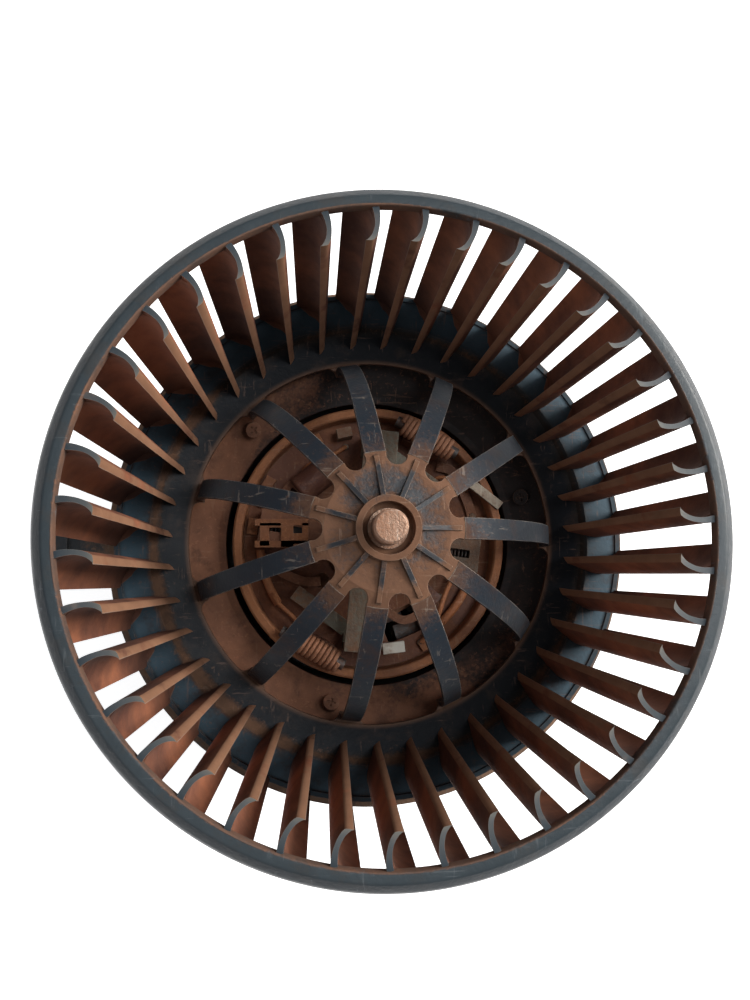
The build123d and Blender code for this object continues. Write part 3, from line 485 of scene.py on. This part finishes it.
def turned(name, outline, material, segments=256, radius=0.25, wave=None):
    """An outline of (radius, height) points in millimetres turned about the axis into a closed ring."""
    ring = rounded_outline(outline, radius)
    points, faces = [], []
    for segment in range(segments):
        angle = 2 * math.pi * segment / segments
        for r, z in ring:
            lift = wave(r, angle) if wave else 0.0
            points.append((r * MM * math.cos(angle), r * MM * math.sin(angle), (z + lift) * MM))
    n = len(ring)
    for segment in range(segments):
        following = (segment + 1) % segments
        for index in range(n):
            other = (index + 1) % n
            faces.append((segment * n + index, following * n + index, following * n + other, segment * n + other))
    return tidy_mesh(new_piece(name, points, faces, material))


def stand_for(piece, body, slot, *nodes):
    """The piece rides on a body and stands for CAD nodes. The slot is not used."""
    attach(piece, body)
    if nodes:
        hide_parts(*nodes)
    print(piece.name, len(piece.data.polygons), "faces")
    return piece


# %% [markdown]
# ## Rim
# The front ring is one narrow moulded band: a short inner wall, a flat face and a flared lip. Turning a rounded
# outline is the natural way to make it.

# %% Rim
RIM_TOP = RIM_Z / MM
WALL_R, FACE_R, LIP_R = 70.8, 73.1, 76.3
RIM_OUTLINE = [          # radius, depth below the top
    (WALL_R, 0.02), (FACE_R, 0.02), (75.4, 1.9), (LIP_R, 3.5), (LIP_R, 4.7), (75.1, 4.7), (72.6, 1.7), (72.5, 2.8),
    (WALL_R, 2.8),
]
rim = turned("rim", [(r, RIM_TOP - depth) for r, depth in RIM_OUTLINE], finish["rim"], segments=300, radius=0.45)
stand_for(rim, "wheel", "wheel_plastic", "wheel_rim")

# %% [markdown]
# ## Blades
# All the blades are one shape, repeated evenly about the axis. The shape is a curved plate: hollow on one side near
# the rim, straighter behind, with an inner edge that runs inwards from the front tip to the foot. A single blade is
# skinned from rows of points. Then a small Geometry Nodes tree places a copy on each point round the axis, turns it,
# and gives it the tiny random lean that mouldings have. The count, the phase and the lean are inputs of the tree.

# %% One blade
BLADES = 39
BLADE_PHASE = 0.5        # degrees
BLADE_LEAN = 0.12        # degrees, the largest random lean
BLADE_SEED = 7
FRONT_Z = RIM_TOP - 0.8  # front tip
FOOT_Z = 68.4            # height that the foot's plan belongs to
REAR_EDGE_Z = 70.6       # lowest edge
# each plan: radius, offset to the left, thickness, from the outer end inwards
FRONT_PLAN = [(75.3, 6.9, 1.1), (74.7, 4.7, 1.2), (73.7, 2.6, 1.3), (72.2, 0.9, 1.4), (70.1, 0.0, 1.45),
              (66.9, -0.05, 1.1), (64.3, 0.75, 1.1), (62.8, 2.1, 1.0)]
FOOT_PLAN = [(72.0, 7.0, 1.2), (71.3, 4.8, 1.3), (70.2, 2.8, 1.4), (68.8, 1.3, 1.5), (67.0, 0.45, 1.5),
             (64.2, 0.55, 1.4), (61.2, 1.6, 1.3), (57.4, 2.45, 1.2)]
# height and the largest radius allowed there: inside the rim, free below it, and in from the plate's edge
FREE = 80.0
LEVELS = [(FRONT_Z, 70.95), (FRONT_Z - 0.35, 70.95), (127.3, 70.95), (127.15, 73.3), (125.2, 74.9), (125.0, FREE),
          (120.0, FREE), (112.0, FREE), (102.0, FREE), (92.0, FREE), (84.0, FREE), (79.5, FREE), (77.0, FREE),
          (75.0, FREE), (74.3, 72.3), (73.6, 64.5), (72.2, 62.0), (REAR_EDGE_Z, 60.5)]
STRIP = 1.4              # width of the rounded inner edge
SIDE_POINTS = 15         # points along each wall
HOOK, HOOK_RISE = 0.5, 6.0          # how far the foot hooks inwards, and the height over which it does
TIP_SHIFT = 0.35         # sideways, to the left, of the inner edge's left corner
BULGE = (0.12, 0.05)     # how far the inner edge is rounded out, inwards and to the right


def catmull_rom(before, start, end, after, t):
    """A point on a smooth curve from start to end, at a share t of the way."""
    return 0.5 * (2 * start + (end - before) * t + (2 * before - 5 * start + 4 * end - after) * t ** 2
                  + (3 * start - before - 3 * end + after) * t ** 3)


def smooth_curve(stations, steps):
    """A smooth curve through stations, with a number of points for each span."""
    path = [stations[0]] + stations + [stations[-1]]
    out = [catmull_rom(*path[i - 1:i + 3], step / steps) for i in range(1, len(path) - 2) for step in range(steps)]
    return out + [path[-2]]


def lengths_along(curve):
    return np.r_[0, np.cumsum(np.hypot(*np.diff(curve[:, :2], axis=0).T))]


def section(z, limit):
    """The blade's outline at a height: its left wall, the inner strip, and the right wall back."""
    share = (z - FOOT_Z) / (RIM_TOP - FOOT_Z)
    plan = [np.array(foot) + (np.array(front) - np.array(foot)) * share for foot, front in zip(FOOT_PLAN, FRONT_PLAN)]
    curve = np.array(smooth_curve(plan, 12))
    steps = lengths_along(curve)
    outer = float(steps[np.argmax(np.hypot(curve[:, 0], curve[:, 1]) <= limit)])
    end = float(steps[-1])
    run = np.gradient(curve[:, :2], axis=0)
    run /= np.hypot(*run.T)[:, None]
    side = np.c_[-run[:, 1], run[:, 0]]
    hook = HOOK * max(0.0, 1 - (z - REAR_EDGE_Z) / HOOK_RISE) ** 2
    left = np.c_[curve[:, :2] - side * curve[:, 2:] / 2, steps]
    right = np.c_[curve[:, :2] + side * curve[:, 2:] / 2, steps]
    rows = []
    for wall, stop in ((left, end), (right, end - STRIP * 0.8)):
        lengths = np.r_[np.linspace(outer, stop - 0.15, SIDE_POINTS - 1), stop]
        rows.append([[np.interp(s, wall[:, 2], wall[:, k]) for k in (0, 1)] for s in lengths])
    left, right = rows
    left[-1][0] -= hook
    left[-1][1] += TIP_SHIFT
    strip = [[left[-1][k] * (1 - t) + right[-1][k] * t - BULGE[k] for k in (0, 1)] for t in (0.33, 0.67)]
    points = left + strip + right[::-1]
    nose = [0.0] * (SIDE_POINTS - 1) + [1.0] * 4 + [0.0] * (SIDE_POINTS - 1)
    return [(x, y, z) for x, y in points], nose


def blade_shell():
    """One closed blade as points, faces and the nose attribute, standing along +X."""
    rows, nose_rows = zip(*[section(z, limit) for z, limit in LEVELS])
    n = len(rows[0])
    faces = []
    for level in range(len(rows) - 1):
        for index in range(n):
            other = (index + 1) % n
            faces.append((level * n + index, level * n + other, (level + 1) * n + other, (level + 1) * n + index))
    for first in (0, (len(rows) - 1) * n):
        for index in range(n // 2 - 1):
            mirror = n - 1 - index
            faces.append((first + index, first + index + 1, first + mirror - 1, first + mirror))
    points = [(x * MM, y * MM, z * MM) for row in rows for x, y, z in row]
    return points, faces, [value for row in nose_rows for value in row]


def mark(piece, name, values):
    """Stores one number per point on a piece."""
    attribute = piece.data.attributes.new(name, "FLOAT", "POINT")
    attribute.data.foreach_set("value", values)


points, faces, nose = blade_shell()
one_blade = new_piece("one_blade", points, faces, finish["blade"])
mark(one_blade, "nose", nose)
tidy_mesh(one_blade, 40.0)
spread = np.array([v.co for v in one_blade.data.vertices]) / MM
print("one blade:", len(faces), "faces, from", np.round(spread.min(0), 1), "to", np.round(spread.max(0), 1))

# %% [markdown]
# The tree below repeats a piece round the axis. Its result is kept as a plain mesh, because the piece is exported.


# %% A tree that repeats a piece round the axis
def tree_input(tree, name, kind, default):
    socket = tree.interface.new_socket(name=name, in_out="INPUT", socket_type=kind)
    if default is not None:
        socket.default_value = default


def add(tree, kind, **settings):
    node = tree.nodes.new(kind)
    for key, value in settings.items():
        setattr(node, key, value)
    return node


def start_tree(name):
    tree = bpy.data.node_groups.new(name, "GeometryNodeTree")
    tree_input(tree, "Geometry", "NodeSocketGeometry", None)
    tree.interface.new_socket(name="Geometry", in_out="OUTPUT", socket_type="NodeSocketGeometry")
    return tree, add(tree, "NodeGroupInput"), add(tree, "NodeGroupOutput")


def end_tree(tree, entry, exit_node, geometry):
    """Every tree ends in real geometry with its material set, because instances are dropped on export."""
    real = add(tree, "GeometryNodeRealizeInstances")
    paint = add(tree, "GeometryNodeSetMaterial")
    tree.links.new(geometry, real.inputs[0])
    tree.links.new(real.outputs[0], paint.inputs["Geometry"])
    tree.links.new(entry.outputs["Material"], paint.inputs["Material"])
    tree.links.new(paint.outputs[0], exit_node.inputs[0])


def ring_tree():
    tree, entry, exit_node = start_tree("repeat_round_axis")
    tree_input(tree, "Count", "NodeSocketInt", 6)
    tree_input(tree, "Phase", "NodeSocketFloat", 0.0)
    tree_input(tree, "Lean", "NodeSocketFloat", 0.0)
    tree_input(tree, "Seed", "NodeSocketInt", 1)
    tree_input(tree, "Material", "NodeSocketMaterial", None)
    links = tree.links
    dots = add(tree, "GeometryNodePoints")
    links.new(entry.outputs["Count"], dots.inputs["Count"])
    index = add(tree, "GeometryNodeInputIndex")
    part = add(tree, "ShaderNodeMath", operation="DIVIDE")
    links.new(index.outputs[0], part.inputs[0])
    links.new(entry.outputs["Count"], part.inputs[1])
    angle = add(tree, "ShaderNodeMath", operation="MULTIPLY_ADD")
    links.new(part.outputs[0], angle.inputs[0])
    angle.inputs[1].default_value = 2 * math.pi
    links.new(entry.outputs["Phase"], angle.inputs[2])
    chance = add(tree, "FunctionNodeRandomValue", data_type="FLOAT")
    chance.inputs[2].default_value = -1.0
    chance.inputs[3].default_value = 1.0
    links.new(entry.outputs["Seed"], chance.inputs["Seed"])
    wobble = add(tree, "ShaderNodeMath", operation="MULTIPLY_ADD")
    links.new(chance.outputs[1], wobble.inputs[0])
    links.new(entry.outputs["Lean"], wobble.inputs[1])
    links.new(angle.outputs[0], wobble.inputs[2])
    turn = add(tree, "ShaderNodeCombineXYZ")
    links.new(wobble.outputs[0], turn.inputs[2])
    spread = add(tree, "GeometryNodeInstanceOnPoints")
    links.new(dots.outputs[0], spread.inputs["Points"])
    links.new(entry.outputs["Geometry"], spread.inputs["Instance"])
    links.new(turn.outputs[0], spread.inputs["Rotation"])
    end_tree(tree, entry, exit_node, spread.outputs[0])
    return tree


def grown(source, tree, name, **values):
    """Runs a tree on a source piece and keeps the result as a plain mesh in a new object."""
    modifier = source.modifiers.new(tree.name, "NODES")
    modifier.node_group = tree
    for item in tree.interface.items_tree:
        if item.item_type == "SOCKET" and item.in_out == "INPUT" and item.name in values:
            modifier[item.identifier] = values[item.name]
    graph = bpy.context.evaluated_depsgraph_get()
    graph.update()
    mesh = bpy.data.meshes.new_from_object(source.evaluated_get(graph))
    mesh.name = name
    piece = bpy.data.objects.new(name, mesh)
    bpy.context.scene.collection.objects.link(piece)
    old = source.data
    bpy.data.objects.remove(source)
    bpy.data.meshes.remove(old)
    return piece


RING_TREE = ring_tree()
blades = grown(one_blade, RING_TREE, "blades", Count=BLADES, Phase=math.radians(BLADE_PHASE),
               Lean=math.radians(BLADE_LEAN), Seed=BLADE_SEED, Material=finish["blade"])
stand_for(blades, "wheel", "blade_plastic", "wheel_blades")

# %% [markdown]
# ## Windings and springs
# A choke is enamelled wire wound close on a ferrite rod, and a brush spring is an open coil of thin steel wire. Both
# are a spiral path with a round section swept along it, so one tree makes both from its radius, turns and length.


# %% A tree that winds a coil
def coil_tree():
    tree, entry, exit_node = start_tree("wind_a_coil")
    tree_input(tree, "Turns", "NodeSocketFloat", 8.0)
    tree_input(tree, "Radius", "NodeSocketFloat", 0.003)
    tree_input(tree, "Length", "NodeSocketFloat", 0.01)
    tree_input(tree, "Wire", "NodeSocketFloat", 0.0005)
    tree_input(tree, "Material", "NodeSocketMaterial", None)
    links = tree.links
    spiral = add(tree, "GeometryNodeCurveSpiral")
    spiral.inputs["Resolution"].default_value = 22
    links.new(entry.outputs["Turns"], spiral.inputs["Rotations"])
    links.new(entry.outputs["Radius"], spiral.inputs["Start Radius"])
    links.new(entry.outputs["Radius"], spiral.inputs["End Radius"])
    links.new(entry.outputs["Length"], spiral.inputs["Height"])
    section = add(tree, "GeometryNodeCurvePrimitiveCircle")
    section.inputs["Resolution"].default_value = 8
    links.new(entry.outputs["Wire"], section.inputs["Radius"])
    sweep = add(tree, "GeometryNodeCurveToMesh")
    links.new(spiral.outputs[0], sweep.inputs[0])
    links.new(section.outputs[0], sweep.inputs[1])
    sweep.inputs["Fill Caps"].default_value = True
    smooth = add(tree, "GeometryNodeSetShadeSmooth")
    links.new(sweep.outputs[0], smooth.inputs[0])
    end_tree(tree, entry, exit_node, smooth.outputs[0])
    return tree


COIL_TREE = coil_tree()


def coil(name, start, end, radius, wire, turns, material):
    """A coil of wire between two points, in metres."""
    seed = new_piece(name + "_seed", [(0, 0, 0)], [], material)
    start, end = Vector(start), Vector(end)
    piece = grown(seed, COIL_TREE, name, Turns=turns, Radius=radius, Length=(end - start).length,
                  Wire=wire, Material=material)
    turn = (end - start).to_track_quat("Z", "X").to_matrix().to_4x4()
    piece.data.transform(Matrix.Translation(start) @ turn)
    return tidy_mesh(piece, 60.0)


def long_ends(node, trim=0.0):
    """The two ends of a slim straight node, from the spread of its points, each moved inwards by trim."""
    co = np.array([v.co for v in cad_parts[node].data.vertices])
    centre = (co.min(0) + co.max(0)) / 2
    axis = np.linalg.svd(co - co.mean(0), full_matrices=False)[2][0]
    reach = (co - centre) @ axis
    low, high = reach.min() + trim, reach.max() - trim
    return Vector(centre + axis * low), Vector(centre + axis * high)


CHOKE = {"radius": 2.75 * MM, "wire": 0.68 * MM, "turns": 12.0}
SPRING = {"radius": 2.1 * MM, "wire": 0.3 * MM, "turns": 7.0}
CHOKE_TRIM, SPRING_TRIM = 1.9 * MM, 0.4 * MM
for side in "ab":
    core_ends = long_ends("choke_core_" + side, CHOKE_TRIM)
    winding = coil("wound_choke_" + side, *core_ends, **CHOKE, material=finish["copper"])
    stand_for(winding, "motor", "copper", "choke_winding_" + side)
    spring_ends = long_ends("brush_spring_" + side, SPRING_TRIM)
    spring = coil("coil_spring_" + side, *spring_ends, **SPRING, material=finish["spring_steel"])
    stand_for(spring, "motor", "spring_steel", "brush_spring_" + side)
    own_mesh(spring)

# %% [markdown]
# ## Small parts of the brush card
# A brush card is crowded: a punched lid over one brush box, flat strips, solder and the thin wires that join them.
# Wires and strips are swept along short curves, and each drop of solder is a flattened ball.


# %% Small parts
UP = Vector((0, 0, 1))


def swept(points, half_w, half_t, sides):
    """Points and faces of a wire with a round section, or of a strip with four sides, swept along a path in mm."""
    path = smooth_curve([Vector(p) for p in points], 8)
    verts, faces = [], []
    for i, p in enumerate(path):
        run = (path[min(i + 1, len(path) - 1)] - path[max(i - 1, 0)]).normalized()
        side = run.cross(UP)
        side = side.normalized() if side.length > 0.05 else Vector((1, 0, 0))
        top = side.cross(run)
        for k in range(sides):
            angle = 2 * math.pi * (k + 0.5) / sides
            across, above = math.cos(angle), math.sin(angle)
            if sides == 4:
                across, above = math.copysign(1, across), math.copysign(1, above)
            verts.append((p + side * across * half_w + top * above * half_t) * MM)
    for i in range(len(path) - 1):
        for k in range(sides):
            o = (k + 1) % sides
            faces.append((i * sides + k, i * sides + o, (i + 1) * sides + o, (i + 1) * sides + k))
    faces.append(tuple(range(sides)))
    faces.append(tuple(range((len(path) - 1) * sides, len(path) * sides)))
    return verts, faces


def gathered(name, shapes, material):
    """Several shapes joined into one piece."""
    verts, faces = [], []
    for shape_verts, shape_faces in shapes:
        faces += [tuple(i + len(verts) for i in face) for face in shape_faces]
        verts += shape_verts
    return tidy_mesh(new_piece(name, verts, faces, material), 50.0)


def blob(x, y, z, r):
    """A flattened ball of solder."""
    verts, faces, rings, sides = [], [], 5, 10
    for i in range(rings + 1):
        a = math.pi * i / rings
        for k in range(sides):
            b = 2 * math.pi * k / sides
            verts.append(Vector((x + r * math.sin(a) * math.cos(b), y + r * math.sin(a) * math.sin(b),
                                 z + 0.6 * r * math.cos(a))) * MM)
    for i in range(rings):
        for k in range(sides):
            o = (k + 1) % sides
            faces.append((i * sides + k, (i + 1) * sides + k, (i + 1) * sides + o, i * sides + o))
    return verts, faces


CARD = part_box("brush_plate")[1].z / MM
print("top of the brush card at", round(CARD, 1), "mm")
THIN = 0.35              # half thickness of the strips
wires = gathered("card_wires", [
    swept([(x, y, CARD + z) for x, y, z in path], half, half, 8) for path, half in (
        (((16, -31, 2), (20, -25, 4.5), (23, -17, 4), (26, -11, 3)), 0.8),
        (((-22, 20, 1), (-18, 24, 4), (-11, 27, 4.5), (-7, 30, 1.5)), 0.7),
        (((-31, -12, 1), (-28, -18, 4), (-23, -23, 3.5), (-20, -28, 1)), 0.7),
        (((30, 16, 1), (26, 19, 3.6), (22, 20, 3.6), (17, 17, 1)), 0.6),
    )], finish["sleeve"])
stand_for(wires, "motor", "lead_sleeve")
strips = gathered("card_strips", [
    swept([(x, y, CARD + z) for x, y, z in path], half, THIN, 4) for path, half in (
        (((-34, 12, 1), (-28, 13, 1.4), (-24, 18, 2.4), (-20.5, 15.7, 2.4)), 1.1),
        (((-33, -4, 1), (-27, -9, 1.6), (-20, -12, 1.6), (-15, -12, 1)), 1.4),
        (((22, 24, 1), (27, 22, 1.5), (31, 14, 1.5), (33, 8, 1)), 1.5),
        (((4, -20, 1), (10, -24, 2), (16, -22, 2), (22, -17, 1)), 1.3),
    )], finish["phenolic"])
stand_for(strips, "motor", "brass")
LID_HALF_T = 0.3
lid_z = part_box("brush_holder_b")[1].z / MM + LID_HALF_T
# start, end and half width of each bar of the lid
bars = [((-34.5, -0.9), (-18.6, -0.9), 1.0), ((-34.5, 5.6), (-18.6, 5.6), 1.0), ((-33.0, 2.0), (-30.2, 2.0), 3.4),
        ((-26.8, 1.4), (-23.1, 1.4), 3.2), ((-20.5, 2.0), (-18.6, 2.0), 3.4), ((-30.2, 4.7), (-26.8, 4.7), 0.7),
        ((-23.1, 0.7), (-20.5, 0.7), 1.6)]
lid = gathered("card_lid", [swept([(*a, lid_z), (*b, lid_z)], half, LID_HALF_T, 4) for a, b, half in bars],
               finish["collar"])
stand_for(lid, "motor", "phenolic")
solder = gathered("solder", [blob(x, y, CARD + 1.2, r) for x, y, r in
                  ((-22, 20, 1.3), (-7, 30, 1.1), (26, -11, 1.4), (16, -31, 1.2), (-20, -28, 1.2), (30, 16, 1.2),
                   (-31, -12, 1.1), (17, 17, 1.0), (33, 8, 1.2), (22, -17, 1.1))], finish["tin"])
stand_for(solder, "motor", "tinned_strip")

# %% [markdown]
# ## Bowl
# The dished shoulder of the carrier shows through the windows as a dusty brown bowl with soft lobes pressed into it.
# It is turned like the rim, and a smooth wave in height, strongest halfway up the slope, makes the lobes.


# %% Bowl
SLOPE_LOW, SLOPE_HIGH = (45.9, 58.4), (60.0, 67.2)      # radius and height of the ends of the upper slope
LOBES, LOBE_DEPTH, LOBE_PHASE = 10, 1.8, 0.8
LOBE_MIDDLE, LOBE_HALF_WIDTH = 51.5, 6.5


def lobes(radius, angle):
    """Height of the lobes in millimetres: soft hollows round the bowl, only on the upper slope."""
    across = max(0.0, 1 - ((radius - LOBE_MIDDLE) / LOBE_HALF_WIDTH) ** 2)
    return -LOBE_DEPTH * across * (0.5 + 0.5 * math.cos(LOBES * angle + LOBE_PHASE)) ** 1.5


def bowl_outline():
    """The bowl's section. The upper slope has many points, so that the lobes bend it smoothly."""
    (low_r, low_z), (high_r, high_z) = SLOPE_LOW, SLOPE_HIGH
    top = [(r, low_z + (r - low_r) * (high_z - low_z) / (high_r - low_r)) for r in np.linspace(59.9, 46.0, 12)]
    under = [(43.75, 56.05), (48.0, 56.05), (58.5, 64.62), (59.95, 64.62)]
    return [tuple(map(float, p)) for p in under + top + [(43.75, 58.0)]]


bowl = turned("bowl", bowl_outline(), finish["bowl"], segments=240, radius=0.2, wave=lobes)
stand_for(bowl, "motor", "carrier_plastic", "carrier_bowl")

# %% [markdown]
# ## The rest of the frame
# All other nodes keep their CAD shape and take a finish. The Bevel node inside each finish rounds their edges softly.

# %% Finishes for the CAD nodes
PAINT = {
    "spokes": ["wheel_spokes"],
    "web": ["wheel_hub"],
    "ribs": ["hub_ribs"],
    "base": ["wheel_base"],
    "steel": ["motor_shaft", "hub_insert"],
    "spring_steel": ["hub_clip", "magnet_spring_a", "magnet_spring_b", "retainer_lower", "retainer_upper"],
    "iron": ["armature_core", "magnet_a", "magnet_b", "choke_core_a", "choke_core_b"],
    "copper": ["winding_lower", "winding_upper", "commutator_bars"],
    "insulation": ["commutator_sleeve", "thrust_washer_lower", "thrust_washer_upper", "brush_plate",
                   "choke_cradle_a", "choke_cradle_b"],
    "can": ["motor_can", "connector_pins"],
    "plate_metal": ["bearing_bridge", "bus_strip_a", "bus_strip_b"],
    "brass": ["bearing_lower", "bearing_upper"],
    "holder": ["brush_holder_a"],
    "phenolic": ["brush_holder_b"],
    "carbon": ["brush_a", "brush_b"],
    "sleeve": ["lead_a", "lead_b"],
    "tin": ["supply_strip"],
    "drum": ["capacitor", "thermal_link"],
    "pale": ["lead_clip"],
    "block": ["spacer_block"],
    "collar": ["motor_ring", "ring_snaps"],
    "rubber": ["dampers"],
    "bowl": ["carrier_screws"],
    "carrier": ["carrier_floor", "carrier_cup", "carrier_ribs", "connector_shell"],
    "flange": ["carrier_flange", "carrier_lug"],
}
painted = set()
for key, names in PAINT.items():
    for name in names:
        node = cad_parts[name]
        node.data.materials.clear()
        node.data.materials.append(finish[key])
        painted.add(name)
hidden = {name for name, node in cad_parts.items() if node.hide_render}
print("painted", len(painted), "of", len(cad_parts), "nodes; not painted:",
      sorted(set(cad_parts) - painted - hidden))

# %% [markdown]
# ## Floor
# A plain pale sheet just under the blower, bright enough to shine through the gaps between the blades.

# %% Floor
FLOOR, UNDER = 3.0, -0.0003
GLOW = 0.75
paper = Recipe("floor_paper")
grain = paper.noise(30.0, 3.0)
paper.put(paper.shader.inputs["Base Color"], paper.mix(grain, (0.86, 0.86, 0.86), (0.9, 0.9, 0.9)))
paper.shader.inputs["Roughness"].default_value = 0.9
paper.shader.inputs["Emission Color"].default_value = (1, 1, 1, 1)
paper.shader.inputs["Emission Strength"].default_value = GLOW
corners = [(-FLOOR, -FLOOR, UNDER), (FLOOR, -FLOOR, UNDER), (FLOOR, FLOOR, UNDER), (-FLOOR, FLOOR, UNDER)]
floor = new_piece("floor", corners, [(0, 1, 2, 3)], paper.material, smooth=False)
